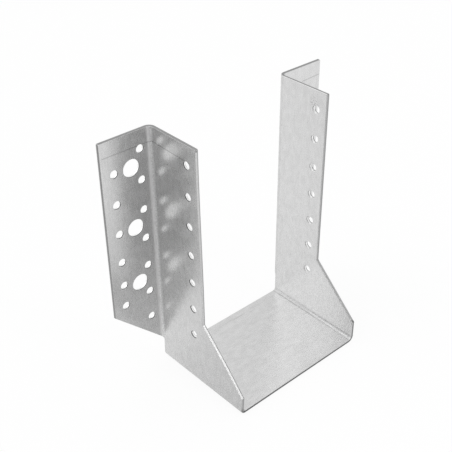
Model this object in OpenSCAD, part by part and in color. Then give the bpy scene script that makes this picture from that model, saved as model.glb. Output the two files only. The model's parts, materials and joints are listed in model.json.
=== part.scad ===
// Face-fix joist hanger, folded from one piece of galvanised steel sheet.
// A level seat carries the end of a joist between two side plates, and a
// flange turns outwards from the back of each side plate and lies on the
// header. Nails go through the flanges and the side plates, bolts through
// the flanges only.
// X runs across the joist, +Y points into the header, Z runs up from the
// underside of the seat. The origin is midway between the header plane and
// the front edge of the seat.

/* [Joist pocket] */
// Clear width between the side plates
joist_w = 100; // [60:1:160]
// Overall height, from the underside of the seat to the top edge
hanger_h = 170; // [150:1:260]
// Depth of the seat, from the header plane to its front edge
seat_depth = 76.5; // [66:0.5:110]
// Gap between the header plane and the back edge of the seat
seat_setback = 3; // [2.5:0.1:4]

/* [Sheet] */
// Thickness of the sheet
sheet_t = 2; // [1.5:0.1:2.4]
// Inside radius of the bends between the flanges and the side plates
flange_bend_r = 2.5; // [1:0.1:3.5]
// Inside radius of the bends between the side plates and the seat
seat_bend_r = 2; // [1:0.1:4]

/* [Side plates] */
// Depth of the upper part of a side plate, from the header plane
side_depth = 41.5; // [30:0.5:60]
// Height at which the front edge starts to slope out to the seat
slope_top = 49.5; // [40:0.5:70]
// Height at which the slope reaches the front edge of the seat
slope_foot = 14.8; // [9:0.1:25]

/* [Flanges] */
// Width of a flange, from the outside of its side plate
flange_w = 34.5; // [32:0.5:50]
// Height at which the sloping bottom edge of a flange would meet its side plate
flange_foot = 15.6; // [14:0.1:25]

/* [Nail holes] */
// Diameter of a nail hole
nail_d = 5; // [4:0.1:6.5]
// Spacing of the nails down a column
nail_pitch = 20; // [14:0.5:30]
// Inner nail column of a flange, from the outside of the side plate
inner_nail_offset = 7.5; // [7:0.1:8.5]
// First nail of the inner column, below the top edge
inner_nail_top = 12; // [8:0.5:16]
// Outer nail column of a flange, from the outside of the side plate
outer_nail_offset = 25.9; // [24:0.1:28]
// First nail of the outer column, below the top edge
outer_nail_top = 21.5; // [18:0.5:26]
// Height of the lowest nail of the outer column above the sloping bottom edge
low_nail_rise = 14.5; // [8:0.1:20]
// Spacing of the two lowest nails of the outer column
low_nail_pitch = 15.5; // [12:0.1:20]
// Nail column of a side plate, behind its front edge
side_nail_edge = 8.2; // [6:0.1:14]
// First nail of a side plate, below the top edge
side_nail_top = 12.7; // [8:0.1:18]
// Least height of a nail in a side plate
side_nail_low = 30; // [20:0.5:36]

/* [Bolt holes] */
// Diameter of a bolt hole
bolt_d = 11; // [8:0.5:13]
// Spacing of the bolts down a flange
bolt_pitch = 40; // [30:0.5:60]
// Bolt column of a flange, from the outside of the side plate
bolt_offset = 14.2; // [14:0.1:16]
// First bolt, below the top edge
bolt_top = 22; // [18:0.5:30]

/* [Hidden] */
$fn = 64;

// How far a cutting tool runs past the sheet
cut_past = 1;
// Least height of a nail or a bolt above the sloping bottom edge of a flange
nail_rise_min = 10;
bolt_rise_min = 30;
// Length of flat side plate that runs along with each flange, ahead of its bend
overlap = 3;

header_y = seat_depth / 2;
seat_front_y = header_y - seat_depth;
seat_back_y = header_y - seat_setback;
side_front_y = header_y - side_depth;
bend_y = header_y - sheet_t - flange_bend_r;

half_w = joist_w / 2;
outer_x = half_w + sheet_t;
flange_x = outer_x + flange_w;
// Flat side plate without a flange reaches up to here at the back
step_z = flange_foot - sheet_t;
// The corner between the seat's back edge and the flange's bottom edge
foot_fillet = min(1, seat_setback - sheet_t);

// Height of the flange's sloping bottom edge at a distance from the side plate
function edge_z(offset) = flange_foot + offset;
// Heights of a column of holes: from the first one down, no lower than a limit
function column(first, pitch, lowest) = [for (z = [first : -pitch : lowest]) z];

low_nails = [edge_z(outer_nail_offset) + low_nail_rise,
             edge_z(outer_nail_offset) + low_nail_rise + low_nail_pitch];
inner_nails = column(hanger_h - inner_nail_top, nail_pitch, edge_z(inner_nail_offset) + nail_rise_min);
outer_nails = column(hanger_h - outer_nail_top, nail_pitch, low_nails[1] + low_nail_pitch);
side_nails = column(hanger_h - side_nail_top, nail_pitch, side_nail_low);
bolts = column(hanger_h - bolt_top, bolt_pitch, edge_z(bolt_offset) + bolt_rise_min);

// Quarter of a ring, in the corner between -X and +Y of its centre
module quarter_ring(inside_r) {
    intersection() {
        difference() {
            circle(r = inside_r + sheet_t);
            circle(r = inside_r);
        }
        translate([-inside_r - sheet_t, 0])
            square(inside_r + sheet_t);
    }
}

// Section of one half of the seat with its side plate, seen along the joist:
// X across the joist, Y up
module seat_section() {
    bend_x = half_w - seat_bend_r;
    bend_z = sheet_t + seat_bend_r;
    square([bend_x, sheet_t]);
    translate([bend_x, bend_z])
        rotate(180)
            quarter_ring(seat_bend_r);
    translate([half_w, bend_z])
        square([sheet_t, hanger_h - bend_z]);
}

// Outline of a side plate seen from the side: X towards the header, Y up
module side_outline() {
    polygon([
        [seat_front_y, 0],
        [seat_back_y, 0],
        [seat_back_y, step_z],
        [bend_y, step_z],
        [bend_y, hanger_h],
        [side_front_y, hanger_h],
        [side_front_y, slope_top],
        [seat_front_y, slope_foot]
    ]);
}

// The seat and both flat side plates, up to the start of the flange bends
module seat_and_sides() {
    color([0.76, 0.77, 0.78])
        intersection() {
            translate([0, seat_back_y, 0])
                rotate([90, 0, 0])
                    linear_extrude(seat_depth - seat_setback) {
                        seat_section();
                        mirror([1, 0])
                            seat_section();
                    }
            rotate([90, 0, 90])
                linear_extrude(2 * outer_x, center = true)
                    side_outline();
        }
}

// Section of one flange with its bend, seen from above
module flange_section() {
    bend_x = outer_x + flange_bend_r;
    translate([half_w, bend_y - overlap])
        square([sheet_t, overlap]);
    translate([bend_x, bend_y])
        quarter_ring(flange_bend_r);
    translate([bend_x, header_y - sheet_t])
        square([flange_x - bend_x, sheet_t]);
}

// Tool that trims a flange below its sloping bottom edge and leaves a fillet
// where that edge runs into the back edge of the side plate
module foot_cutter() {
    reach = 1.5 * flange_w + cut_past;
    translate([outer_x, 0, flange_foot])
        rotate([0, 45, 0])
            translate([0, 0, -2 * sheet_t])
                linear_extrude(reach + 2 * sheet_t)
                    translate([0, seat_back_y])
                        difference() {
                            square([reach, seat_setback + cut_past]);
                            difference() {
                                square(foot_fillet);
                                translate([foot_fillet, foot_fillet])
                                    circle(r = foot_fillet);
                            }
                        }
}

// One flange, on the +X side
module flange() {
    color([0.74, 0.75, 0.76])
        difference() {
            translate([0, 0, step_z])
                linear_extrude(hanger_h - step_z)
                    flange_section();
            foot_cutter();
        }
}

// Tools for a column of round holes through a flange
module flange_holes(heights, offset, d) {
    for (z = heights)
        translate([outer_x + offset, header_y + cut_past, z])
            rotate([90, 0, 0])
                cylinder(d = d, h = sheet_t + 2 * cut_past);
}

// Tools for every hole of the flange on the +X side
module flange_drilling() {
    flange_holes(inner_nails, inner_nail_offset, nail_d);
    flange_holes(concat(outer_nails, low_nails), outer_nail_offset, nail_d);
    flange_holes(bolts, bolt_offset, bolt_d);
}

// Tools for the nail holes of both side plates
module side_drilling() {
    for (z = side_nails)
        translate([0, side_front_y + side_nail_edge, z])
            rotate([0, 90, 0])
                cylinder(d = nail_d, h = 2 * (outer_x + cut_past), center = true);
}

// The whole hanger, one folded sheet
module hanger() {
    difference() {
        union() {
            seat_and_sides();
            flange();
            mirror([1, 0, 0])
                flange();
        }
        flange_drilling();
        mirror([1, 0, 0])
            flange_drilling();
        side_drilling();
    }
}

hanger();
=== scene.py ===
"""A face-fix joist hanger folded from one galvanised steel sheet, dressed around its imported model.

The sheet is worked out flat, as the blank that the punch leaves, and is then folded. A point of the blank
has three coordinates in metres: s runs across the joist along the developed sheet (0 at the middle of the
seat), v runs along the joist towards the header, also developed, and h runs up through the sheet from its
outer face, which is the seat's underside, to its pocket face, which touches the joist. The hanger itself
has +X across the joist, +Y into the header and +Z up. The blank's coordinates stay on the mesh as the
attribute "blank", so grain, scratches and bend marks run on over the folds.
"""

import json
import logging
import math
from dataclasses import dataclass
from enum import Enum
from typing import ClassVar

import bpy
import numpy as np
from mathutils import Matrix, Vector
from mathutils.geometry import delaunay_2d_cdt

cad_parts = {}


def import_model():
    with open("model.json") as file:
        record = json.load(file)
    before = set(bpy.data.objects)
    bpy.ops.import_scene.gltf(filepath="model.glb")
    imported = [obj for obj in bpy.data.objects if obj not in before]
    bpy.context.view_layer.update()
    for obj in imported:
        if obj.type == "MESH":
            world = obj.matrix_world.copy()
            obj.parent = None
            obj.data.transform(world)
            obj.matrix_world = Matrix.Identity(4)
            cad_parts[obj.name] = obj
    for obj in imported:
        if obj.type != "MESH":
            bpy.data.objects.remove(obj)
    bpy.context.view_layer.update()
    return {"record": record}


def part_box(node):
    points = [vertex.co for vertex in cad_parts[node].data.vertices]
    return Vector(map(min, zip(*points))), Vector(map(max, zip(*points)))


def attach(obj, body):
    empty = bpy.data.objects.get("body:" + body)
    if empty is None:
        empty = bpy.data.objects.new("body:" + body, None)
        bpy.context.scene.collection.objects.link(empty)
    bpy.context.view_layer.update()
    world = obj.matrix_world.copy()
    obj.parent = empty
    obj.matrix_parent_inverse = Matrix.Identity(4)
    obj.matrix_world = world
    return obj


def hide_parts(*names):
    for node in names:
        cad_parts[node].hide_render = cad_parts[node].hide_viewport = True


MM = 0.001
NODE = "hanger"
BODY = "root"
BLANK_ATTRIBUTE = "blank"
NOISE_SPAN = (0.3, 0.7)  # most of a noise lies between these
log = logging.getLogger("hanger")


class Surface(Enum):
    """Which finish a part of the sheet's skin takes, with its material slot's number."""

    ZINC = 0
    SHEARED = 1
    BORED = 2


class Face(Enum):
    """A face of the sheet, with its share below and above the sheet's middle."""

    OUTER = (1.0, 0.0)
    POCKET = (0.0, 1.0)


@dataclass(frozen=True)
class Hole:
    """One round hole of the blank, as its centre and radius."""

    s: float
    v: float
    radius: float


@dataclass(frozen=True)
class HangerSizes:
    """Sizes of the folded hanger in metres: the first six come from the frame, the others are named here.

    The punch and the press leave small faults: the left slope starts a little lower and runs steeper than
    the right one, by its drop and the two skews, and the left plate is toed in, most at its waist and
    hardly at its top. The flange's bottom edge eases off where it crosses the bend.
    """

    half_width: float
    height: float
    header_y: float
    front_y: float
    pocket_half: float
    sheet: float
    seat_setback: float = 3 * MM
    flange_bend_r: float = 2.5 * MM
    seat_bend_r: float = 2 * MM
    side_depth: float = 41.5 * MM
    slope_top: float = 49.5 * MM
    slope_foot: float = 14.8 * MM
    slope_top_skew: float = 0.6 * MM
    slope_foot_skew: float = 1.2 * MM
    left_slope_drop: float = 1.1 * MM
    flange_foot: float = 15.6 * MM
    foot_fillet: float = 1.5 * MM
    foot_ease: float = 6 * MM
    corner_r: float = 0.8 * MM
    left_waist: float = 51 * MM
    left_waist_toe: float = math.radians(2.5)
    left_top_toe: float = math.radians(0.1)

    @classmethod
    def from_frame(cls, record: dict) -> "HangerSizes":
        """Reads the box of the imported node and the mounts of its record.

        Args:
            record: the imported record.

        Returns:
            The sizes, with those that no mount gives at their named values.
        """
        low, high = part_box(NODE)
        at = {mount["name"]: mount["pos_m"] for mount in record["mounts"]}
        return cls(
            half_width=high.x,
            height=high.z,
            header_y=high.y,
            front_y=low.y,
            pocket_half=at["joist_cheek_right"][0],
            sheet=at["seat_bearing"][2],
        )

    @property
    def seat_flat(self) -> float:
        """Half width of the seat's flat, up to the start of its bend."""
        return self.pocket_half - self.seat_bend_r

    @property
    def seat_bend(self) -> float:
        """Developed length of a quarter bend at the seat, at mid sheet."""
        return (self.seat_bend_r + self.sheet / 2) * math.pi / 2

    @property
    def flange_bend(self) -> float:
        """Developed length of a quarter bend at a flange, at mid sheet."""
        return (self.flange_bend_r + self.sheet / 2) * math.pi / 2

    @property
    def bend_y(self) -> float:
        """Where a side plate ends and the bend to its flange starts."""
        return self.header_y - self.sheet - self.flange_bend_r

    @property
    def flange_start(self) -> float:
        """Developed v at which the flange's flat starts."""
        return self.bend_y + self.flange_bend

    @property
    def flange_start_x(self) -> float:
        """Distance from the middle plane at which the flange's flat starts."""
        return self.pocket_half + self.sheet + self.flange_bend_r

    def toe_in(self, s: np.ndarray) -> np.ndarray:
        """Angle in radians by which the plate slants inwards towards its front, at each developed s.

        On the left it follows a cubic of the height, which is level at the waist and at the top edge and
        falls again from the waist to the seat. On the right it is nil.

        Args:
            s: developed places across the joist, negative on the left.

        Returns:
            The angles.
        """
        up = np.maximum(np.abs(s) - self.s_at_height(0), 0)
        t = (up - self.left_waist) / (self.height - self.left_waist)
        toe = self.left_waist_toe + (self.left_top_toe - self.left_waist_toe) * (3 * t**2 - 2 * t**3)
        return np.where(s < 0, toe, 0)

    def s_at_height(self, z: float) -> float:
        """Developed s of a height z on the flat of a side plate."""
        return self.seat_flat + self.seat_bend + z - self.sheet - self.seat_bend_r

    def v_on_flange(self, x: float) -> float:
        """Developed v of a distance x from the middle plane, on the flat of a flange."""
        return self.flange_start + x - self.flange_start_x


class Folding:
    """Folds points of the blank into the hanger."""

    SHARE_LOW = 8 * MM
    SHARE_HIGH = 13 * MM
    STEP = 0.01 * MM

    def __init__(self, sizes: HangerSizes) -> None:
        """Keeps the sizes that the folds take their radii and places from."""
        self.sizes = sizes

    def fold(self, blank: np.ndarray) -> np.ndarray:
        """Places points of the blank in space.

        A flange turns outwards about an upright line at its inside radius r: at an angle a = (v - bend
        start) / (r + half the sheet), a point at height h lies (r + h) (1 - cos a) outwards of the
        plate's outer face and (r + h) sin a beyond the bend's start. Past a right angle it runs
        straight on. The angle starts at the plate's toe-in, by which the plate runs slanting up to the
        bend. Under the flange's foot the turn fades out over a few millimetres, because the plate is
        flat there. Then the seat's bend turns the plate up about its own line in the same way.

        Args:
            blank: points as rows of s, v and h.

        Returns:
            The points as rows of x, y and z.
        """
        sizes = self.sizes
        s, v, h = blank[:, 0], blank[:, 1], blank[:, 2]
        side, reach = np.sign(s), np.abs(s)

        toe = sizes.toe_in(s)
        mid = sizes.flange_bend_r + sizes.sheet / 2
        turn = np.clip((v - sizes.bend_y) / mid, toe, math.pi / 2)
        radius = sizes.flange_bend_r + h
        past = np.maximum(v - sizes.flange_start, 0)
        before = np.minimum(v - sizes.bend_y - mid * toe, 0)
        turned = radius * (1 - np.cos(turn)) + past + before * np.sin(toe)
        along = sizes.bend_y + radius * np.sin(turn) + before * np.cos(toe)
        slant = (v - sizes.bend_y) * np.sin(toe)
        above = reach - sizes.s_at_height(self.SHARE_LOW)
        rise = np.clip(above / (self.SHARE_HIGH - self.SHARE_LOW), 0, 1)
        share = rise**2 * (3 - 2 * rise)
        outwards = slant + (turned - slant) * share
        y = v + (along - v) * share

        centre_x, centre_z = sizes.seat_flat, sizes.sheet + sizes.seat_bend_r
        angle = np.clip((reach - sizes.seat_flat) / (sizes.seat_bend_r + sizes.sheet / 2), 0, math.pi / 2)
        ring = sizes.seat_bend_r + sizes.sheet - h
        bent = reach > sizes.seat_flat
        level = reach * (1 + slant / sizes.seat_flat)
        x = np.where(bent, centre_x + ring * np.sin(angle) + outwards, level)
        up = np.maximum(reach - sizes.seat_flat - sizes.seat_bend, 0)
        height = np.where(bent, centre_z - ring * np.cos(angle) + up, h)
        return np.stack([side * x, y, height], 1)

    def directions(self, blank: np.ndarray) -> tuple[np.ndarray, np.ndarray, np.ndarray]:
        """Unit vectors in space along s, v and h, by central differences of the fold.

        Args:
            blank: points as rows of s, v and h.

        Returns:
            Three arrays of unit rows, for s, v and h.
        """
        found = []
        for axis in range(3):
            step = np.zeros(3)
            step[axis] = self.STEP
            d = self.fold(blank + step) - self.fold(blank - step)
            found.append(d / np.linalg.norm(d, axis=1, keepdims=True))
        return found[0], found[1], found[2]


@dataclass(frozen=True)
class PunchedEdge:
    """Section of the punched edge, from the outer face up to the pocket face.

    The punch came from the pocket side. It draws that face down in a wide soft shoulder, cuts a smooth
    band, and then the sheet breaks off in a rough band that leans back to a small sharp edge.
    """

    edge_r: float = 0.1 * MM
    lean: float = 0.18 * MM
    break_height: float = 1.25 * MM
    shoulder_width: float = 0.55 * MM
    shoulder_height: float = 0.24 * MM
    edge_steps: int = 3
    shoulder_steps: int = 6

    CHANGE_SHARE: ClassVar[float] = 0.02
    CUT_BANDS: ClassVar[int] = 3

    def section(self, sheet: float) -> np.ndarray:
        """Works out the section as rings: a round edge, the two straight bands and a quarter ellipse.

        The torn band keeps its slanted normal until just under its top, where the smooth band starts.

        Args:
            sheet: thickness of the sheet.

        Returns:
            Rows of inset from the outline, height h, and the outward and upward parts of the normal.
        """
        tilt = self.lean / self.break_height
        a = np.linspace(-math.pi / 2, -tilt, self.edge_steps + 1)
        inset = self.lean + self.edge_r * (1 - np.cos(a))
        low = np.stack([inset, self.edge_r * (1 + np.sin(a)), np.cos(a), np.sin(a)], 1)
        change = self.CHANGE_SHARE * self.break_height
        middle = np.array(
            [[tilt * change, self.break_height - change, 1, -tilt], [0, self.break_height, 1, 0]]
        )
        b = np.linspace(0, math.pi / 2, self.shoulder_steps + 1)
        out, up = np.cos(b) / self.shoulder_width, np.sin(b) / self.shoulder_height
        inset = self.shoulder_width * (1 - np.cos(b))
        height = sheet - self.shoulder_height * (1 - np.sin(b))
        high = np.stack([inset, height, out, up], 1)
        rows = np.concatenate([low, middle, high])
        rows[:, 2:] /= np.linalg.norm(rows[:, 2:], axis=1, keepdims=True)
        return rows

    @property
    def cut_rings(self) -> tuple[int, int]:
        """First and last ring of the bare cut, which has no zinc on it."""
        return self.edge_steps, self.edge_steps + self.CUT_BANDS


class Blank:
    """The flat sheet: its outline with rounded corners, its holes, and a grid of points between them."""

    GRID = 4 * MM
    BEND_STEPS = 10
    CORNER_STEPS = 5
    NAIL_SEGMENTS = 36
    BOLT_SEGMENTS = 64
    LARGEST_NAIL_R = 4 * MM
    CLEARANCE = 0.9 * MM
    LEAST_GAP = 0.25 * MM
    CLEARLY_MORE = 1.01

    def __init__(self, sizes: HangerSizes, record: dict) -> None:
        """Works out the lines of the grid and reads the holes from the mounts.

        Args:
            sizes: the sizes of the hanger.
            record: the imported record.
        """
        self.sizes = sizes
        self.s_lines, self.v_lines = self._lines()
        self.holes = self._holes(record)

    def _holes(self, record: dict) -> list[Hole]:
        """Reads the holes from the bolt patterns, with one that two patterns share read once.

        Args:
            record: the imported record.

        Returns:
            The holes, in the order of the mounts.
        """
        sizes = self.sizes
        found: dict[tuple[float, float], Hole] = {}
        for mount in record["mounts"]:
            if mount["kind"] != "bolt_pattern":
                continue
            dims, (x, y, height) = mount["dims"], mount["pos_m"]
            up = dims.get("spacing_y_mm", 0) * MM / 2
            for low in (-up, up):
                faces_header = abs(mount["axis"][1]) > abs(mount["axis"][0])
                if faces_header:
                    v = sizes.v_on_flange(x + dims["spacing_x_mm"] * MM / 2)
                    spots = [(side * sizes.s_at_height(height + low), v) for side in (-1, 1)]
                else:
                    spots = [(math.copysign(sizes.s_at_height(height + low), x), y)]
                for s, v in spots:
                    found[(round(s, 6), round(v, 6))] = Hole(s, v, dims["hole_r_mm"] * MM)
        return list(found.values())

    def _lines(self) -> tuple[np.ndarray, np.ndarray]:
        """Places the grid's lines: even steps on the flats and close ones over the bends.

        Returns:
            The lines' places along s and along v.
        """
        sizes = self.sizes
        seat = np.linspace(0, sizes.seat_flat, 1 + round(sizes.seat_flat / self.GRID))
        bend = np.linspace(sizes.seat_flat, sizes.seat_flat + sizes.seat_bend, 1 + self.BEND_STEPS)
        top = sizes.s_at_height(sizes.height)
        plate = np.linspace(bend[-1], top, 1 + round((top - bend[-1]) / self.GRID))
        half = np.concatenate([seat, bend[1:], plate[1:]])
        s_lines = np.concatenate([-half[:0:-1], half])
        depth = sizes.bend_y - sizes.front_y
        flat = np.linspace(sizes.front_y, sizes.bend_y, 1 + round(depth / self.GRID))
        turn = np.linspace(sizes.bend_y, sizes.flange_start, 1 + self.BEND_STEPS)
        end = sizes.v_on_flange(sizes.half_width)
        flange = np.linspace(turn[-1], end, 1 + round((end - turn[-1]) / self.GRID))
        return s_lines, np.concatenate([flat, turn[1:], flange[1:]])

    def _corners(self) -> list[tuple[float, float, float]]:
        """Lists the corners of the outline, anticlockwise from the seat's front on the right.

        Returns:
            Each corner's s, v and fillet radius.
        """
        sizes = self.sizes
        side_front = sizes.header_y - sizes.side_depth
        top, end = sizes.s_at_height(sizes.height), sizes.v_on_flange(sizes.half_width)
        back = sizes.header_y - sizes.seat_setback
        rise = sizes.half_width - sizes.pocket_half - sizes.sheet
        flange_low = sizes.s_at_height(sizes.flange_foot + rise)
        ease = sizes.s_at_height(sizes.flange_foot + sizes.flange_bend_r)
        foot = sizes.s_at_height(sizes.flange_foot)
        halves = []
        for side, drop in ((1, 0.0), (-1, sizes.left_slope_drop)):
            slope_foot = sizes.slope_foot + side * sizes.slope_foot_skew - drop
            slope_top = sizes.slope_top - side * sizes.slope_top_skew - drop
            half = [
                (sizes.s_at_height(slope_foot), sizes.front_y, sizes.corner_r),
                (sizes.s_at_height(slope_top), side_front, sizes.corner_r),
                (top, side_front, sizes.corner_r),
                (top, end, sizes.corner_r),
                (flange_low, end, sizes.corner_r),
                (ease, sizes.flange_start, sizes.foot_ease),
                (foot, back, sizes.foot_fillet),
            ]
            halves.append([(side * s, v, r) for s, v, r in half])
        return halves[0] + halves[1][::-1]

    def _stations(self, a: np.ndarray, b: np.ndarray) -> np.ndarray:
        """Points of a straight edge where the grid's lines meet it, without its ends.

        An edge that runs clearly more along s than along v meets the lines of s, and any other,
        such as one at 45 degrees, the lines of v.

        Args:
            a: start of the edge.
            b: end of the edge.

        Returns:
            Points as rows of s and v.
        """
        run = b - a
        axis = 0 if abs(run[0]) > self.CLEARLY_MORE * abs(run[1]) else 1
        lines = self.s_lines if axis == 0 else self.v_lines
        t = np.sort((lines - a[axis]) / run[axis])
        gap = self.LEAST_GAP / np.linalg.norm(run)
        t = t[(t > gap) & (t < 1 - gap)]
        return a + t[:, None] * run

    def outline(self) -> tuple[np.ndarray, np.ndarray]:
        """The outline's points and the unit directions into the sheet.

        A corner of radius r between two edges becomes an arc that starts and ends r tan(turn / 2) from
        it. An edge gets a point wherever a line of the grid meets it.

        Returns:
            Points and inward directions, both as rows of s and v.
        """
        corners = np.array(self._corners())
        points, inward = [], []
        count = len(corners)
        here, radius = corners[:, :2], corners[:, 2]
        ahead = np.roll(here, -1, 0) - here
        ahead /= np.linalg.norm(ahead, axis=1, keepdims=True)
        behind = np.roll(ahead, 1, 0)
        turn = np.arctan2(
            behind[:, 0] * ahead[:, 1] - behind[:, 1] * ahead[:, 0], (behind * ahead).sum(1)
        )
        cut = radius * np.tan(np.abs(turn) / 2)
        left = np.stack([-behind[:, 1], behind[:, 0]], 1)
        centre = here - behind * cut[:, None] + left * (np.sign(turn) * radius)[:, None]
        for i in range(count):
            t = np.linspace(0, turn[i], self.CORNER_STEPS + 1)
            inner = np.cos(t)[:, None] * left[i] - np.sin(t)[:, None] * behind[i]
            points.append(centre[i] - inner * np.sign(turn[i]) * radius[i])
            inward.append(inner)
            j = (i + 1) % count
            start = here[i] + ahead[i] * cut[i]
            stations = self._stations(start, here[j] - ahead[i] * cut[j])
            points.append(stations)
            normal = np.array([-ahead[i, 1], ahead[i, 0]])
            inward.append(np.broadcast_to(normal, stations.shape))
        return np.concatenate(points), np.concatenate(inward)

    def circle(self, hole: Hole) -> tuple[np.ndarray, np.ndarray]:
        """Works out a hole's rim, clockwise so that the sheet lies to its left.

        Args:
            hole: the hole.

        Returns:
            The rim's points and the unit directions into the sheet, both as rows of s and v.
        """
        count = self.NAIL_SEGMENTS if hole.radius < self.LARGEST_NAIL_R else self.BOLT_SEGMENTS
        a = -np.arange(count) * 2 * math.pi / count
        out = np.stack([np.cos(a), np.sin(a)], 1)
        return np.array([hole.s, hole.v]) + hole.radius * out, out

    def grid(self, outline: np.ndarray, inset: float) -> np.ndarray:
        """Points where the grid's lines cross inside the sheet, clear of its edges.

        Args:
            outline: points of the outline.
            inset: how far the edge's section reaches in from the outline.

        Returns:
            Points as rows of s and v.
        """
        s, v = np.meshgrid(self.s_lines, self.v_lines, indexing="ij")
        points = np.stack([s.ravel(), v.ravel()], 1)
        inside = inside_polygon(points, outline)
        near = distance_to_outline(points, outline) < inset + self.CLEARANCE
        keep = inside & ~near
        for hole in self.holes:
            away = np.hypot(points[:, 0] - hole.s, points[:, 1] - hole.v)
            keep &= away > hole.radius + inset + self.CLEARANCE
        return points[keep]


def inside_polygon(points: np.ndarray, polygon: np.ndarray) -> np.ndarray:
    """Tells which points lie inside a polygon, by counting the edges that a ray along +s crosses.

    Args:
        points: rows of s and v.
        polygon: its corners in order, as rows of s and v.

    Returns:
        True for each point inside.
    """
    a, b = polygon, np.roll(polygon, -1, 0)
    v = points[:, 1:2]
    spans = (a[:, 1] > v) != (b[:, 1] > v)
    rise = np.where(b[:, 1] == a[:, 1], 1, b[:, 1] - a[:, 1])
    crossing = a[:, 0] + (v - a[:, 1]) / rise * (b[:, 0] - a[:, 0])
    return (spans & (points[:, 0:1] < crossing)).sum(1) % 2 == 1


def distance_to_outline(points: np.ndarray, polygon: np.ndarray) -> np.ndarray:
    """Distance from each point to the nearest edge: the foot on each edge is clamped to its ends.

    Args:
        points: rows of s and v.
        polygon: its corners in order, as rows of s and v.

    Returns:
        One distance for each point.
    """
    a = polygon
    run = np.roll(polygon, -1, 0) - a
    from_a = points[:, None, :] - a[None]
    t = np.clip((from_a * run).sum(2) / (run**2).sum(1), 0, 1)
    return np.linalg.norm(from_a - t[:, :, None] * run, axis=2).min(1)


@dataclass
class MeshArrays:
    """A mesh as arrays: blank coordinates, blank normals, triangles, quads and the quads' finishes."""

    blank: np.ndarray
    normal: np.ndarray
    triangles: np.ndarray
    quads: np.ndarray
    quad_surface: np.ndarray


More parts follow.
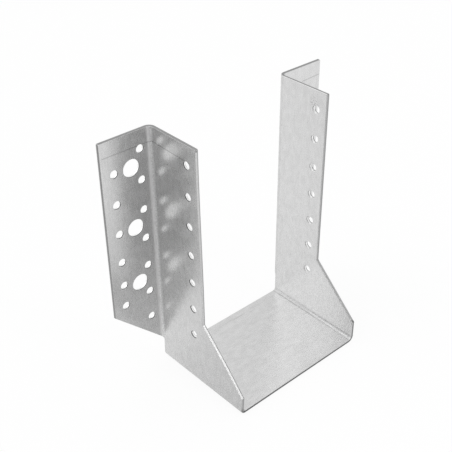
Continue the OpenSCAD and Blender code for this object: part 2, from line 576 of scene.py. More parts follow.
class FoldedSheet:
    """The one piece of the hanger: builds its mesh from the blank and dresses it."""

    NAME = "folded_sheet"
    LEAST_AREA = 1e-12
    WELD = 1e-7

    def __init__(self, sizes: HangerSizes, blank: Blank, edge: PunchedEdge, bore: PunchedEdge) -> None:
        """Keeps what the mesh is made from, and works out the section of each loop.

        Args:
            sizes: the sizes of the hanger.
            blank: the flat sheet.
            edge: the section of the outline's edge.
            bore: the section of the holes' edges, with as many rings.
        """
        self.sizes = sizes
        self.blank = blank
        self.edge = edge
        self.folding = Folding(sizes)
        outer, inner = edge.section(sizes.sheet), bore.section(sizes.sheet)
        self.sections = [outer] + [inner] * len(blank.holes)

    def _loops(self) -> list[tuple[np.ndarray, np.ndarray]]:
        """The outline and every hole's rim, each with its directions into the sheet."""
        return [self.blank.outline()] + [self.blank.circle(hole) for hole in self.blank.holes]

    def _edge_strips(self, loops: list[tuple[np.ndarray, np.ndarray]]) -> MeshArrays:
        """Carries the edge's section along every loop.

        Ring k of a loop is the loop moved in by the section's inset k, at its height k. The normal is the
        section's outward part against the inward direction, and its upward part along h.

        Args:
            loops: points and inward directions of each loop.

        Returns:
            The strips' arrays, with no triangles; a loop's rings follow each other in it.
        """
        first_cut, last_cut = self.edge.cut_rings
        blank, normal, quads, surface = [], [], [], []
        start = 0
        for (points, inward), section in zip(loops, self.sections):
            count = len(points)
            flat = points[None] + section[:, None, 0:1] * inward[None]
            height = np.broadcast_to(section[:, None, 1:2], flat.shape[:2] + (1,))
            blank.append(np.concatenate([flat, height], 2).reshape(-1, 3))
            out = -section[:, None, 2:3] * inward[None]
            up = np.broadcast_to(section[:, None, 3:4], flat.shape[:2] + (1,))
            normal.append(np.concatenate([out, up], 2).reshape(-1, 3))
            ring = start + np.arange(len(section) - 1)[:, None] * count
            here, after = np.arange(count), (np.arange(count) + 1) % count
            quad = np.stack([ring + here, ring + after, ring + count + after, ring + count + here], 2)
            quads.append(quad.reshape(-1, 4))
            k = np.repeat(np.arange(len(section) - 1), count)
            cut = (k >= first_cut) & (k < last_cut)
            bare = Surface.BORED if start else Surface.SHEARED
            surface.append(np.where(cut, bare.value, Surface.ZINC.value))
            start += len(section) * count
        return MeshArrays(
            np.concatenate(blank),
            np.concatenate(normal),
            np.zeros((0, 3), int),
            np.concatenate(quads),
            np.concatenate(surface),
        )

    def _face(self, arrays: MeshArrays, loops: list[tuple[np.ndarray, np.ndarray]], ring: int) -> None:
        """Closes one face of the sheet between the chosen ring of every loop, with triangles.

        The triangles are a constrained Delaunay triangulation of the rings and the grid's points. Those
        outside the outline or inside a hole are dropped.

        Args:
            arrays: the mesh so far, which gains the grid's points and the triangles.
            loops: points and inward directions of each loop.
            ring: 0 for the outer face, -1 for the pocket face.
        """
        rings = len(self.sections[0])
        insets = [section[ring, 0] for section in self.sections]
        height = self.sections[0][ring, 1]
        pieces, ids, edges = [], [], []
        start, local = 0, 0
        for (points, inward), inset in zip(loops, insets):
            count = len(points)
            pieces.append(points + inset * inward)
            ids.append(start + (ring % rings) * count + np.arange(count))
            here = local + np.arange(count)
            edges.append(np.stack([here, local + (np.arange(count) + 1) % count], 1))
            start += rings * count
            local += count
        inner = self.blank.grid(loops[0][0], max(insets))
        ids.append(len(arrays.blank) + np.arange(len(inner)))
        flat = np.concatenate(pieces + [inner])
        made = delaunay_2d_cdt(
            [Vector(p) for p in flat.tolist()], np.concatenate(edges).tolist(), [], 0, self.WELD, True
        )
        source = np.array([given[0] for given in made[3]])
        triangles = source[np.array(made[2])]
        corner = flat[triangles]
        centre = corner.mean(1)
        keep = inside_polygon(centre, pieces[0])
        for hole, rim, inset in zip(self.blank.holes, pieces[1:], insets[1:]):
            clear = (hole.radius + inset) * math.cos(math.pi / len(rim))
            keep &= np.hypot(centre[:, 0] - hole.s, centre[:, 1] - hole.v) > clear
        a, b = corner[:, 1] - corner[:, 0], corner[:, 2] - corner[:, 0]
        area = a[:, 0] * b[:, 1] - a[:, 1] * b[:, 0]
        keep &= np.abs(area) > self.LEAST_AREA
        upwards = height > self.sizes.sheet / 2
        wrong = (area > 0) != upwards
        triangles[wrong] = triangles[wrong][:, ::-1]
        up = 1.0 if upwards else -1.0
        arrays.blank = np.concatenate([arrays.blank, np.insert(inner, 2, height, 1)])
        arrays.normal = np.concatenate([arrays.normal, np.tile([0, 0, up], (len(inner), 1))])
        arrays.triangles = np.concatenate([arrays.triangles, np.concatenate(ids)[triangles[keep]]])

    def arrays(self) -> MeshArrays:
        """Works out the whole sheet in the blank's coordinates.

        Returns:
            The arrays of its mesh.
        """
        loops = self._loops()
        arrays = self._edge_strips(loops)
        self._face(arrays, loops, 0)
        self._face(arrays, loops, -1)
        return arrays

    def build(self) -> bpy.types.Object:
        """Folds the arrays and puts them into a mesh with exact normals and the blank's coordinates.

        Returns:
            The object of the folded sheet, at the origin.
        """
        arrays = self.arrays()
        along_s, along_v, along_h = self.folding.directions(arrays.blank)
        n = arrays.normal
        normals = n[:, 0:1] * along_s + n[:, 1:2] * along_v + n[:, 2:3] * along_h
        normals /= np.linalg.norm(normals, axis=1, keepdims=True)
        faces = arrays.quads.tolist() + arrays.triangles.tolist()
        mesh = bpy.data.meshes.new(self.NAME)
        mesh.from_pydata(self.folding.fold(arrays.blank).tolist(), [], faces)
        index = np.zeros(len(faces), np.int32)
        index[: len(arrays.quads)] = arrays.quad_surface
        mesh.polygons.foreach_set("material_index", index)
        mesh.polygons.foreach_set("use_smooth", np.ones(len(faces), bool))
        kept = mesh.attributes.new(BLANK_ATTRIBUTE, "FLOAT_VECTOR", "POINT")
        kept.data.foreach_set("vector", arrays.blank.astype(np.float32).ravel())
        mesh.update()
        mesh.normals_split_custom_set_from_vertices(normals.tolist())
        piece = bpy.data.objects.new(self.NAME, mesh)
        bpy.context.scene.collection.objects.link(piece)
        log.info("%s: %d vertices, %d faces", self.NAME, len(mesh.vertices), len(mesh.polygons))
        return piece

    def dress(self, piece: bpy.types.Object, finishes: dict[Surface, bpy.types.Material]) -> None:
        """Gives the piece its materials, in the order of Surface, and its place in the frame.

        Args:
            piece: the object of the folded sheet.
            finishes: the material of each surface.
        """
        for surface in Surface:
            piece.data.materials.append(finishes[surface])
        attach(piece, BODY)
        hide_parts(NODE)


class Nodes:
    """A small helper that adds and links shader nodes."""

    def __init__(self, tree: bpy.types.NodeTree) -> None:
        """Clears the tree and keeps it."""
        self.tree = tree
        tree.nodes.clear()

    def add(self, kind: str, **settings: object) -> bpy.types.Node:
        """Adds a node.

        Args:
            kind: its type, such as ShaderNodeMath.
            settings: its properties.

        Returns:
            The node.
        """
        node = self.tree.nodes.new(kind)
        for name, value in settings.items():
            setattr(node, name, value)
        return node

    def feed(self, socket: bpy.types.NodeSocket, value: object) -> None:
        """Links a socket to another, or sets its plain value.

        Args:
            socket: an input.
            value: an output socket or a plain value.
        """
        if isinstance(value, bpy.types.NodeSocket):
            self.tree.links.new(value, socket)
        else:
            socket.default_value = value

    def math(self, operation: str, *values: object, clamp: bool = False) -> bpy.types.NodeSocket:
        """One math node with up to three values.

        Args:
            operation: the operation, such as MULTIPLY.
            values: sockets or plain numbers.
            clamp: keeps the result from 0 to 1.

        Returns:
            The node's output.
        """
        node = self.add("ShaderNodeMath", operation=operation, use_clamp=clamp)
        for socket, value in zip(node.inputs, values):
            self.feed(socket, value)
        return node.outputs[0]

    def product(self, first: object, *others: object) -> bpy.types.NodeSocket:
        """Multiplies two or more values, in their order.

        Args:
            first: the first socket or number.
            others: the other ones.

        Returns:
            The product.
        """
        for other in others:
            first = self.math("MULTIPLY", first, other)
        return first

    def vector(self, operation: str, a: object, b: object) -> bpy.types.Node:
        """One vector math node with two vectors.

        Args:
            operation: the operation, such as DISTANCE.
            a: a socket or a plain vector.
            b: the second one.

        Returns:
            The node, whose outputs are "Vector" and "Value".
        """
        node = self.add("ShaderNodeVectorMath", operation=operation)
        self.feed(node.inputs[0], a)
        self.feed(node.inputs[1], b)
        return node

    def scaled(self, vector: object, scale: object) -> bpy.types.NodeSocket:
        """Multiplies a vector by a number.

        Args:
            vector: a socket or a plain vector.
            scale: a socket or a number.

        Returns:
            The scaled vector.
        """
        node = self.add("ShaderNodeVectorMath", operation="SCALE")
        self.feed(node.inputs[0], vector)
        self.feed(node.inputs["Scale"], scale)
        return node.outputs["Vector"]

    def ramp(
        self, value: object, low: float, high: float, out_low: float = 0.0, out_high: float = 1.0
    ) -> bpy.types.NodeSocket:
        """A smooth step.

        Args:
            value: the socket that drives it.
            low: the value at which it starts.
            high: the value at which it ends, which may lie below low.
            out_low: the result at low.
            out_high: the result at high.

        Returns:
            The node's output.
        """
        node = self.add("ShaderNodeMapRange", interpolation_type="SMOOTHSTEP")
        self.feed(node.inputs["Value"], value)
        ends = {"From Min": low, "From Max": high, "To Min": out_low, "To Max": out_high}
        for name, number in ends.items():
            node.inputs[name].default_value = number
        return node.outputs["Result"]

    def band(
        self, value: object, rise: tuple[float, float], fall: tuple[float, float]
    ) -> bpy.types.NodeSocket:
        """A smooth band: the product of a step up and a step down.

        Args:
            value: the socket that drives it.
            rise: where it starts to grow from 0, and where it reaches 1.
            fall: where it starts to fall, and where it is back at 0.

        Returns:
            The band.
        """
        return self.product(self.ramp(value, *rise), self.ramp(value, *fall, 1.0, 0.0))

    def blend(self, factor: object, a: object, b: object) -> bpy.types.NodeSocket:
        """A value between two others.

        Args:
            factor: 0 for the first, 1 for the second.
            a: the first socket or number.
            b: the second one.

        Returns:
            The node's output.
        """
        node = self.add("ShaderNodeMix", data_type="FLOAT")
        self.feed(node.inputs[0], factor)
        self.feed(node.inputs[2], a)
        self.feed(node.inputs[3], b)
        return node.outputs[0]

    def noise(self, place: bpy.types.NodeSocket, detail: float = 2.0) -> bpy.types.NodeSocket:
        """A noise with about one cell for each unit of the place.

        Args:
            place: the coordinates.
            detail: how many finer layers are added.

        Returns:
            The noise, about 0.5 on average.
        """
        node = self.add("ShaderNodeTexNoise")
        self.feed(node.inputs["Vector"], place)
        node.inputs["Scale"].default_value = 1.0
        node.inputs["Detail"].default_value = detail
        return node.outputs[0]

    def end(self, kind: str, surface: bpy.types.NodeSocket) -> None:
        """Ends the tree with an output node of a kind, which shows the surface."""
        self.feed(self.add(kind).inputs["Surface"], surface)


def new_material(name: str) -> tuple[bpy.types.Material, Nodes]:
    """Makes a material with an empty tree.

    Args:
        name: its name.

    Returns:
        The material and the helper for its tree.
    """
    material = bpy.data.materials.new(name)
    material.use_nodes = True
    return material, Nodes(material.node_tree)


def finish_metal(nodes: Nodes, tone: object, roughness: object) -> None:
    """Ends a material as bare metal.

    Args:
        nodes: the material's nodes.
        tone: the grey of its reflections.
        roughness: how blurred they are.
    """
    shader = nodes.add("ShaderNodeBsdfPrincipled")
    nodes.feed(shader.inputs["Base Color"], tone)
    shader.inputs["Metallic"].default_value = 1.0
    nodes.feed(shader.inputs["Roughness"], roughness)
    nodes.end("ShaderNodeOutputMaterial", shader.outputs[0])


@dataclass(frozen=True)
class BlankCoordinates:
    """The blank's coordinates in millimetres as sockets, with reach as the distance of s from 0."""

    nodes: Nodes
    vector: bpy.types.NodeSocket
    s: bpy.types.NodeSocket
    v: bpy.types.NodeSocket
    h: bpy.types.NodeSocket
    reach: bpy.types.NodeSocket

    MID_SHEET: ClassVar[tuple[float, float]] = (0.9, 1.1)

    @classmethod
    def read(cls, nodes: Nodes) -> "BlankCoordinates":
        """Reads the mesh's attribute and scales it to millimetres.

        Args:
            nodes: the material's nodes.

        Returns:
            The coordinates.
        """
        attribute = nodes.add("ShaderNodeAttribute", attribute_name=BLANK_ATTRIBUTE)
        vector = nodes.scaled(attribute.outputs["Vector"], 1 / MM)
        split = nodes.add("ShaderNodeSeparateXYZ")
        nodes.feed(split.inputs[0], vector)
        return cls(nodes, vector, *split.outputs, nodes.math("ABSOLUTE", split.outputs[0]))

    def stretched(self, *scales: float) -> bpy.types.NodeSocket:
        """The coordinates scaled along s, v and h, for a pattern that is longer one way."""
        return self.nodes.vector("MULTIPLY", self.vector, scales).outputs["Vector"]

    def on(self, face: Face) -> bpy.types.NodeSocket:
        """One on a face of the sheet and its half of the edges, and nil on the other."""
        return self.nodes.ramp(self.h, *self.MID_SHEET, *face.value)

    def distance_from(self, spot: tuple[float, float]) -> bpy.types.NodeSocket:
        """Distance from a spot of the blank, measured along the sheet."""
        return self.nodes.vector("DISTANCE", self.stretched(1, 1, 0), (*spot, 0)).outputs["Value"]


@dataclass(frozen=True)
class Scribe:
    """A thin dark line scratched into one face of the sheet, between two spots in millimetres."""

    start: tuple[float, float]
    end: tuple[float, float]
    face: Face
    depth: float
    half_width: float = 0.14
    softness: float = 0.35

    def mask(self, at: BlankCoordinates) -> bpy.types.NodeSocket:
        """How much the line darkens a point: its depth up to the half width, and nil a little beyond.

        The distance is that to the nearest point of the line, whose place along it is clamped to
        its ends.

        Args:
            at: the blank's coordinates.

        Returns:
            The share of the tone that the line takes.
        """
        nodes = at.nodes
        run = Vector((self.end[0] - self.start[0], self.end[1] - self.start[1], 0))
        away = nodes.vector("SUBTRACT", at.stretched(1, 1, 0), (*self.start, 0)).outputs["Vector"]
        share = nodes.vector("DOT_PRODUCT", away, run / run.length_squared).outputs["Value"]
        foot = nodes.scaled(run, nodes.math("ADD", share, 0.0, clamp=True))
        gap = nodes.vector("DISTANCE", away, foot).outputs["Value"]
        line = nodes.ramp(gap, self.half_width, self.half_width + self.softness, self.depth, 0.0)
        return nodes.product(line, at.on(self.face))


@dataclass(frozen=True)
class Scuff:
    """A patch of dark specks on the pocket face, round a spot of the blank, in millimetres."""

    centre: tuple[float, float]
    radius: float
    depth: float
    core: float = 0.35
    specks: tuple[float, float] = (0.5, 0.62)

    def mask(self, at: BlankCoordinates, noise: bpy.types.NodeSocket) -> bpy.types.NodeSocket:
        """How much the patch darkens a point: the specks, fading out beyond the core.

        Args:
            at: the blank's coordinates.
            noise: the noise whose high spots are the specks.

        Returns:
            The share of the tone that the patch takes.
        """
        nodes = at.nodes
        gap = at.distance_from(self.centre)
        patch = nodes.ramp(gap, self.core * self.radius, self.radius, self.depth, 0.0)
        return nodes.product(patch, nodes.ramp(noise, *self.specks), at.on(Face.POCKET))


@dataclass(frozen=True)
class ZincFinish:
    """Hot-dip zinc, rolled smooth: pale grey metal with faint mottling, grain, bend marks and scratches,
    where the bend marks carry painted highlight and painted shade.

    A pair gives what a pattern adds to the tone or to the roughness at its low and at its high end. The
    grain's tone is the base that the others are added to.
    """

    tone: float = 0.71
    roughness: float = 0.27
    grain_tone: tuple[float, float] = (0.98, 1.01)
    grain_roughness: tuple[float, float] = (0.03, -0.02)
    cloud_tone: tuple[float, float] = (-0.045, 0.035)
    cloud_roughness: tuple[float, float] = (-0.02, 0.02)
    streak_tone: tuple[float, float] = (-0.05, 0.008)
    crazed_highlight_tone: tuple[float, float] = (-0.06, 0.24)
    # crazed_highlight_tone is real crazing and partly a painted highlight of the flange's bend
    seam_highlight_tone: tuple[float, float] = (0.0, 0.3)
    # seam_highlight_tone is a painted highlight, and crease_shade_tone below is painted shade, both in
    # the seat's bends
    crease_shade_tone: tuple[float, float] = (-0.14, -0.18)
    fold_roughness: float = 0.24
    scribes: tuple[Scribe, ...] = (
        Scribe((-209.2, 69.5), (-209.0, 36.0), Face.OUTER, 0.26),
        Scribe((-209.4, 36.0), (-208.3, 2.0), Face.OUTER, 0.34),
        Scribe((208.3, 55.2), (208.9, 71.4), Face.OUTER, 0.26),
        Scribe((-16.0, 30.1), (43.0, 30.7), Face.POCKET, 0.07),
        Scribe((4.0, 29.6), (15.0, 30.2), Face.POCKET, 0.12),
        Scribe((19.0, 28.2), (24.0, 28.7), Face.POCKET, 0.1),
        Scribe((52.4, -36.0), (52.2, -2.0), Face.POCKET, 0.12),
        Scribe((48.9, -4.0), (48.4, 34.0), Face.POCKET, 0.12),
    )
    scuffs: tuple[Scuff, ...] = (Scuff((210.0, 6.4), 5.0, 0.4),)

    ABOVE_SEAT_BEND: ClassVar[tuple[float, float]] = (62.0, 66.0)
    CRAZING_SPAN: ClassVar[tuple[float, float]] = (0.35, 0.65)
    SEAM_SPAN: ClassVar[tuple[float, float]] = (0.45, 0.6)

    def _flange_folds(
        self, at: BlankCoordinates, sizes: HangerSizes, specks: bpy.types.NodeSocket
    ) -> tuple[bpy.types.NodeSocket, bpy.types.NodeSocket]:
        """Marks the bends of the flanges: the outer face is crazed in a stripe along the bend, and the
        stripe's lighter speckle is partly a painted highlight in place of the bend's reflection.

        Args:
            at: the blank's coordinates.
            sizes: the sizes that place the bends.
            specks: the noise of the crazing.

        Returns:
            What is added to the tone, and the share of the bend at each point.
        """
        nodes = at.nodes
        upright = nodes.ramp(at.reach, *self.ABOVE_SEAT_BEND)
        start, end = sizes.bend_y / MM, sizes.flange_start / MM
        stripe = nodes.band(at.v, (start - 0.6, start + 0.2), (end - 3.2, end - 1.6))
        stripe = nodes.product(stripe, at.on(Face.OUTER), upright)
        # The stripe's lighter speckle is real crazing and partly a painted highlight of the bend
        crazed_highlight = nodes.product(stripe, nodes.ramp(specks, *self.CRAZING_SPAN, *self.crazed_highlight_tone))
        bend = nodes.band(at.v, (start - 0.4, start + 0.4), (end - 0.4, end + 0.8))
        return crazed_highlight, nodes.product(bend, upright)

    def _seat_folds(
        self, at: BlankCoordinates, sizes: HangerSizes, specks: bpy.types.NodeSocket
    ) -> tuple[bpy.types.NodeSocket, bpy.types.NodeSocket]:
        """Marks the bends of the seat: painted shade along their lower part, deeper towards the back,
        with a dotted painted highlight along a seam at the front.

        Args:
            at: the blank's coordinates.
            sizes: the sizes that place the bends.
            specks: the noise of the seam's dots.

        Returns:
            What is added to the tone, and the share of the bend at each point.
        """
        nodes = at.nodes
        pocket = at.on(Face.POCKET)
        low, high = sizes.seat_flat / MM, (sizes.seat_flat + sizes.seat_bend) / MM
        bend = nodes.band(at.reach, (low - 0.4, low + 0.6), (high - 0.6, high + 0.4))
        bend = nodes.product(bend, pocket)
        under = nodes.product(bend, nodes.ramp(at.reach, high - 2.0, high - 1.1, 1.0, 0.0))
        # A dotted painted highlight along the seam, fading out towards the back
        seam = nodes.product(
            nodes.band(at.reach, (low + 1.6, low + 2.2), (high - 1.8, high - 1.2)),
            pocket,
            nodes.ramp(specks, *self.SEAM_SPAN, *self.seam_highlight_tone),
            nodes.ramp(at.v, -5.0, 5.0, 1.0, 0.0),
        )
        # Painted shade in the crease of the bend, deeper towards the back
        crease_shade = nodes.ramp(at.v, -25.0, 0.0, *self.crease_shade_tone)
        return nodes.math("MULTIPLY_ADD", under, crease_shade, seam), bend

    def material(self, sizes: HangerSizes) -> bpy.types.Material:
        """Builds the material.

        Args:
            sizes: the sizes that place the bend marks.

        Returns:
            The material, which reads the blank's coordinates.
        """
        material, nodes = new_material("zinc_skin")
        at = BlankCoordinates.read(nodes)
        grain = nodes.noise(at.stretched(0.22, 1.1, 3.0))
        cloud = nodes.noise(at.stretched(0.16, 0.24, 2.0), 4.0)
        specks = nodes.noise(at.stretched(1.0, 1.0, 1.0))
        streaks = nodes.noise(at.stretched(0.12, 0.55, 2.0))
        flange_crazing_and_highlight, flange_bend = self._flange_folds(at, sizes, specks)
        seat_painted_light, seat_bend = self._seat_folds(at, sizes, specks)

        tone = nodes.math(
            "ADD",
            nodes.ramp(grain, *NOISE_SPAN, *self.grain_tone),
            nodes.ramp(cloud, *NOISE_SPAN, *self.cloud_tone),
        )
        tone = nodes.math("ADD", tone, nodes.ramp(streaks, 0.25, 0.5, *self.streak_tone))
        tone = nodes.math("ADD", tone, nodes.math("ADD", flange_crazing_and_highlight, seat_painted_light))
        for scribe in self.scribes:
            tone = nodes.math("SUBTRACT", tone, scribe.mask(at))
        for scuff in self.scuffs:
            tone = nodes.math("SUBTRACT", tone, scuff.mask(at, specks))

        from_grain = [self.roughness + change for change in self.grain_roughness]
        rough = nodes.math(
            "ADD",
            nodes.ramp(grain, *NOISE_SPAN, *from_grain),
            nodes.ramp(cloud, *NOISE_SPAN, *self.cloud_roughness),
        )
        at_flange = nodes.product(flange_bend, self.fold_roughness)
        bends = nodes.math("MULTIPLY_ADD", seat_bend, self.fold_roughness, at_flange)
        finish_metal(nodes, nodes.product(tone, self.tone), nodes.math("ADD", rough, bends))
        return material


@dataclass(frozen=True)
class ShearedFinish:
    """Bare steel where the punch cut the sheet: a smooth ironed band and a rough torn one.

    The torn band carries a painted highlight along both slopes and, more so, along the left plate's front
    edge. Both bands carry painted shade at the seat's front, at the lip to its right and under the
    flanges, low down where they face the floor close by. The pairs at the end are places of the blank in
    millimetres, between which a part of the edge starts or ends.
    """

    name: str = "sheared_steel"
    smooth_tone: float = 0.36
    smooth_roughness: float = 0.3
    rough_tone: float = 0.33
    rough_roughness: float = 0.36
    # A painted highlight on the torn band, and the depth of the painted shade on both bands:
    highlight_tone: float = 0.52
    painted_shade_depth: float = 0.55

    BAND_WANDER: ClassVar[float] = 0.1
    BAND_SOFTNESS: ClassVar[float] = 0.08
    STREAKS: ClassVar[tuple[float, float]] = (0.9, 1.1)
    PAST_SEAT_BEND: ClassVar[tuple[float, float]] = (52.0, 54.0)
    BEFORE_PLATE_FRONT: ClassVar[tuple[float, float]] = (-3.2, -4.2)
    LEFT_ABOVE_SLOPE: ClassVar[tuple[float, float]] = (-96.0, -98.0)
    NEAR_PLATE_FRONT: ClassVar[tuple[float, float]] = (2.0, 0.0)
    UNDER_TOP_CORNER: ClassVar[tuple[float, float]] = (217.5, 216.5)
    WAIST_TO_MIDDLE: ClassVar[tuple[float, float]] = (105.0, 145.0)
    HIGHLIGHT_MORE: ClassVar[tuple[float, float]] = (2.1, 1.5)
    AT_SEAT_FRONT: ClassVar[tuple[float, float]] = (-36.5, -37.5)
    RIGHT_OF_LEFT_LIP: ClassVar[tuple[float, float]] = (-51.0, -49.0)
    ON_FLANGE: ClassVar[tuple[float, float]] = (40.0, 42.0)
    UNDER_FLANGE: ClassVar[tuple[float, float]] = (100.0, 99.0)

    def _highlight_share(self, at: BlankCoordinates) -> bpy.types.NodeSocket:
        """How much painted highlight the torn band takes at each point.

        Args:
            at: the blank's coordinates.

        Returns:
            The share of the highlight tone, which passes 1 along the left plate's front edge.
        """
        nodes = at.nodes
        slopes = nodes.product(
            nodes.ramp(at.reach, *self.PAST_SEAT_BEND), nodes.ramp(at.v, *self.BEFORE_PLATE_FRONT)
        )
        left_front = nodes.product(
            nodes.ramp(at.s, *self.LEFT_ABOVE_SLOPE),
            nodes.ramp(at.v, *self.NEAR_PLATE_FRONT),
            nodes.ramp(at.reach, *self.UNDER_TOP_CORNER),
            nodes.ramp(at.reach, *self.WAIST_TO_MIDDLE, *self.HIGHLIGHT_MORE),
        )
        return nodes.math("MAXIMUM", slopes, left_front)

    def _shaded_places(self, at: BlankCoordinates) -> bpy.types.NodeSocket:
        """Where the edge takes painted shade, at each point.

        Args:
            at: the blank's coordinates.

        Returns:
            One where it is shaded, and nil elsewhere.
        """
        nodes = at.nodes
        seat_front = nodes.product(
            nodes.ramp(at.v, *self.AT_SEAT_FRONT), nodes.ramp(at.s, *self.RIGHT_OF_LEFT_LIP)
        )
        flange = nodes.product(
            nodes.ramp(at.v, *self.ON_FLANGE), nodes.ramp(at.reach, *self.UNDER_FLANGE)
        )
        return nodes.math("MAXIMUM", seat_front, flange)

    def material(self, edge: PunchedEdge) -> bpy.types.Material:
        """Builds the material of the cut edges, with fine lines that run through the sheet.

        Args:
            edge: the section, which places the change from the rough band to the smooth one.

        Returns:
            The material, which reads the blank's coordinates.
        """
        material, nodes = new_material(self.name)
        at = BlankCoordinates.read(nodes)
        lines = nodes.noise(at.stretched(3.0, 3.0, 0.25))
        change = edge.break_height / MM
        wander = nodes.ramp(lines, *NOISE_SPAN, -self.BAND_WANDER, self.BAND_WANDER)
        place = nodes.math("ADD", at.h, wander)
        smooth = nodes.ramp(place, change - self.BAND_SOFTNESS, change + self.BAND_SOFTNESS)
        # The torn band's tone gains a painted highlight along the slopes and the left plate's front edge
        gain = self.highlight_tone - self.rough_tone
        torn = nodes.math("MULTIPLY_ADD", self._highlight_share(at), gain, self.rough_tone)
        torn = nodes.product(torn, nodes.ramp(lines, *NOISE_SPAN, *self.STREAKS))
        clean = nodes.blend(smooth, torn, self.smooth_tone)
        # Both bands take painted shade at the seat's front, at its lip and low on the flanges
        painted_shade_depth = nodes.product(self._shaded_places(at), -self.painted_shade_depth)
        tone = nodes.math("MULTIPLY_ADD", clean, painted_shade_depth, clean)
        finish_metal(nodes, tone, nodes.blend(smooth, self.rough_roughness, self.smooth_roughness))
        return material


def direction(azimuth: float, elevation: float) -> Vector:
    """Unit vector towards a direction.

    Args:
        azimuth: degrees round from the front, -Y, towards +X.
        elevation: degrees above the floor.

    Returns:
        The vector.
    """
    a, e = math.radians(azimuth), math.radians(elevation)
    return Vector((math.sin(a) * math.cos(e), -math.cos(a) * math.cos(e), math.sin(e)))


@dataclass(frozen=True)
class Softbox:
    """A square lamp that faces the hanger from a direction in degrees, in metres and watts."""

    name: str
    azimuth: float
    elevation: float
    distance: float
    size: float
    power: float

    def build(self, target: Vector) -> bpy.types.Object:
        """Adds the lamp, turned to the target.

        Args:
            target: the point that the lamp faces.

        Returns:
            The lamp's object.
        """
        lamp = bpy.data.lights.new(self.name, "AREA")
        lamp.shape = "SQUARE"
        lamp.size = self.size
        lamp.energy = self.power
        found = bpy.data.objects.new(self.name, lamp)
        back = direction(self.azimuth, self.elevation)
        found.location = target + back * self.distance
        found.rotation_mode = "QUATERNION"
        found.rotation_quaternion = (-back).to_track_quat("-Z", "Y")
        bpy.context.scene.collection.objects.link(found)
        return found


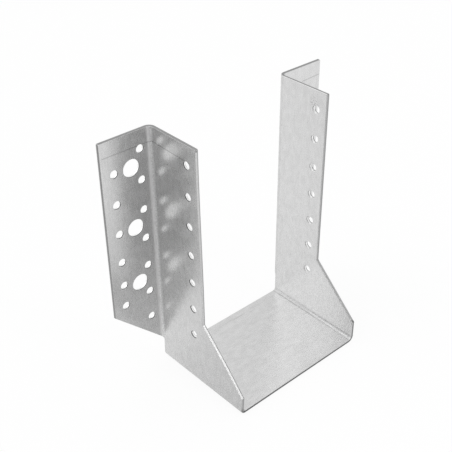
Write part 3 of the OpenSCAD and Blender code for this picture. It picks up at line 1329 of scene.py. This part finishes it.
@dataclass(frozen=True)
class Studio:
    """The plain pale floor, the white surround and the lamps.

    The floor's dim part, a painted shade, lies ahead of the line dim_from to dim_to, towards dim_azimuth,
    and to the left of the line side_from to side_to beside it. The window is where the surround glows
    most.
    """

    floor_size: float = 6.0
    floor_drop: float = 0.1 * MM
    floor_pale: float = 0.88
    # The tone of the floor's painted shade
    floor_dim: float = 0.42
    dim_azimuth: float = -45.0
    dim_from: float = -0.03
    dim_to: float = 0.19
    side_from: float = 0.03
    side_to: float = 0.13
    camera_white: float = 0.9
    mirror_white: float = 0.5
    surround: float = 0.8
    surround_more: float = 0.096
    window: float = 0.68
    window_azimuth: float = -122.0
    window_elevation: float = 42.0
    window_power: float = 4.5
    room_from: float = -0.3
    room_to: float = 0.7
    front_lamp: Softbox = Softbox("front_lamp", 12.6, 34.4, distance=1.4, size=0.3, power=1.6)
    top_lamp: Softbox = Softbox("top_lamp", 0, 88, distance=1.6, size=1.2, power=1.5)

    def _floor_material(self) -> bpy.types.Material:
        """A pale floor with a painted shade that darkens it from the hanger towards the front left, which
        only light and reflections see.

        The camera sees it mostly as plain white, so that only a faint shadow shows, and reflections
        see half of it that way.

        Returns:
            The material.
        """
        material, nodes = new_material("floor_pale")
        place = nodes.add("ShaderNodeTexCoord").outputs["Object"]
        forwards, sideways = direction(self.dim_azimuth, 0), direction(self.dim_azimuth + 90, 0)
        along = nodes.vector("DOT_PRODUCT", place, forwards).outputs["Value"]
        across = nodes.vector("DOT_PRODUCT", place, sideways).outputs["Value"]
        # Painted shade on the floor, from the hanger towards the front left
        ahead = nodes.ramp(along, self.dim_from, self.dim_to)
        beside = nodes.ramp(across, self.side_from, self.side_to, 1.0, 0.0)
        dim = nodes.product(ahead, beside)
        patch = nodes.math("MULTIPLY_ADD", dim, self.floor_dim - self.floor_pale, self.floor_pale)
        rays = nodes.add("ShaderNodeLightPath").outputs
        tone = nodes.math("MAXIMUM", patch, nodes.product(rays["Is Camera Ray"], self.floor_pale))
        diffuse = nodes.add("ShaderNodeBsdfDiffuse")
        nodes.feed(diffuse.inputs["Color"], tone)
        glow = nodes.math("DIVIDE", tone, self.floor_pale)
        white = nodes.add("ShaderNodeEmission")
        nodes.feed(white.inputs["Strength"], nodes.math("MAXIMUM", glow, rays["Is Camera Ray"]))
        mix = nodes.add("ShaderNodeMixShader")
        mirrored = nodes.math("ADD", rays["Is Glossy Ray"], rays["Is Transmission Ray"], clamp=True)
        share = nodes.math(
            "ADD",
            nodes.product(rays["Is Camera Ray"], self.camera_white),
            nodes.product(mirrored, self.mirror_white),
        )
        nodes.feed(mix.inputs[0], share)
        nodes.feed(mix.inputs[1], diffuse.outputs[0])
        nodes.feed(mix.inputs[2], white.outputs[0])
        nodes.end("ShaderNodeOutputMaterial", mix.outputs[0])
        return material

    def _floor(self) -> None:
        """Adds the floor just under the seat."""
        half = self.floor_size / 2
        corners = [(-half, -half), (half, -half), (half, half), (-half, half)]
        mesh = bpy.data.meshes.new("floor")
        mesh.from_pydata([(x, y, -self.floor_drop) for x, y in corners], [], [(0, 1, 2, 3)])
        floor = bpy.data.objects.new("floor", mesh)
        floor.data.materials.append(self._floor_material())
        bpy.context.scene.collection.objects.link(floor)

    def _surround(self) -> None:
        """Makes the world white to the camera, and to the hanger a pale room with a wide soft window.

        The window glows as a power of the cosine of the angle from its middle, so it has no edge.
        """
        world = bpy.data.worlds.new("surround")
        world.use_nodes = True
        nodes = Nodes(world.node_tree)
        place = nodes.add("ShaderNodeTexCoord").outputs["Generated"]
        middle = direction(self.window_azimuth, self.window_elevation)
        near = nodes.vector("DOT_PRODUCT", place, middle).outputs["Value"]
        glow = nodes.math("POWER", nodes.math("MAXIMUM", near, 0.0), self.window_power)
        most = self.surround + self.surround_more
        room = nodes.ramp(near, self.room_from, self.room_to, self.surround, most)
        tone = nodes.math("MULTIPLY_ADD", glow, self.window, room)
        rays = nodes.add("ShaderNodeLightPath").outputs
        shader = nodes.add("ShaderNodeBackground")
        shader.inputs["Color"].default_value = (1, 1, 1, 1)
        nodes.feed(shader.inputs["Strength"], nodes.blend(rays["Is Camera Ray"], tone, 1.0))
        nodes.end("ShaderNodeOutputWorld", shader.outputs[0])
        bpy.context.scene.world = world

    def build(self, target: Vector) -> None:
        """Builds the floor, the surround and the lamps.

        Args:
            target: the point that the lamps face.
        """
        self._floor()
        self._surround()
        for lamp in (self.front_lamp, self.top_lamp):
            lamp.build(target)
        bpy.context.scene.view_settings.view_transform = "Standard"


@dataclass(frozen=True)
class PhotoCamera:
    """The camera of the photograph, as fitted to it: angles in degrees and place in metres."""

    azimuth: float = -41.414
    elevation: float = 33.655
    roll: float = -0.517
    place: tuple[float, float, float] = (-0.29371, -0.30115, 0.37745)
    focal_px: float = 829.08
    frame_px: float = 452.0
    sensor: float = 36.0
    clip: tuple[float, float] = (0.01, 20.0)

    def build(self) -> bpy.types.Object:
        """Adds the camera and makes it the scene's own.

        Returns:
            The camera's object.
        """
        data = bpy.data.cameras.new("photo_camera")
        data.sensor_width = self.sensor
        data.lens = self.focal_px * self.sensor / self.frame_px
        data.clip_start, data.clip_end = self.clip
        camera = bpy.data.objects.new("photo_camera", data)
        r = math.radians(self.roll)
        back = direction(self.azimuth, self.elevation)
        level = (-back).cross(Vector((0, 0, 1))).normalized()
        upright = level.cross(-back)
        right = level * math.cos(r) + upright * math.sin(r)
        up = upright * math.cos(r) - level * math.sin(r)
        turned = Matrix((right, up, back)).transposed().to_4x4()
        camera.matrix_world = Matrix.Translation(self.place) @ turned
        bpy.context.scene.collection.objects.link(camera)
        bpy.context.scene.camera = camera
        return camera


def main() -> None:
    """Builds the camera, the studio and the hanger in order, and reports each piece."""
    logging.basicConfig(level=logging.INFO, format="%(name)s: %(message)s")
    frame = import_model()
    sizes = HangerSizes.from_frame(frame["record"])
    PhotoCamera().build()
    Studio().build(Vector((0, 0, sizes.height / 2)))
    edge = PunchedEdge()
    bore = PunchedEdge(
        edge_r=0.06 * MM,
        lean=0.14 * MM,
        break_height=0.6 * MM,
        shoulder_width=0.75 * MM,
        shoulder_height=0.5 * MM,
    )
    bored = ShearedFinish(
        name="bored_steel",
        smooth_tone=0.98,
        smooth_roughness=0.12,
        rough_tone=0.14,
        rough_roughness=0.5,
        highlight_tone=0.14,
        painted_shade_depth=0.0,
    )
    sheet = FoldedSheet(sizes, Blank(sizes, frame["record"]), edge, bore)
    piece = sheet.build()
    finishes = {
        Surface.ZINC: ZincFinish().material(sizes),
        Surface.SHEARED: ShearedFinish().material(edge),
        Surface.BORED: bored.material(bore),
    }
    sheet.dress(piece, finishes)
    log.info("%s rides on %s and stands for %s", piece.name, BODY, NODE)


if __name__ == "__main__":
    main()
